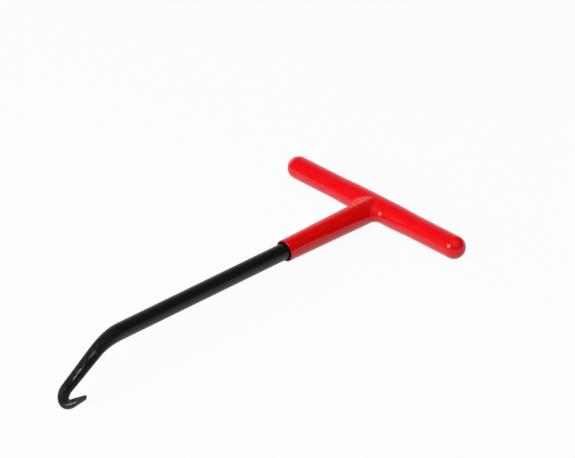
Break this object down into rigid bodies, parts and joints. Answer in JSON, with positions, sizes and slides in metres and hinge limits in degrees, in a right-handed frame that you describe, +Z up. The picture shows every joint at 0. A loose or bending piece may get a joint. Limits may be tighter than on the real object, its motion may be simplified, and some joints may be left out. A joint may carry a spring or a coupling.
{
  "type": "spring puller",
  "caption": "T-handled spring puller: a steel shaft with a bent, tapered arm and a small hook, its cross handle and neck dipped in soft plastic.",
  "frame": {"origin": "centre of the footprint, on the surface the tool lies on", "axes": "+X along the shaft from the handle to the hook, +Y along the cross handle, +Z up with the hook turned down"},
  "size_m": [0.1698, 0.0956, 0.0234],
  "materials": {
    "black_steel": "satin black, with draw lines and worn forging marks at the hook",
    "bar_steel": "bright drawn",
    "red_dip": "glossy dipped coat"
  },
  "bodies": {
    "root": {"shaft": "black_steel", "cross_bar": "bar_steel", "weld_bead": "bar_steel", "grip": "red_dip"}
  },
  "joints": []
}
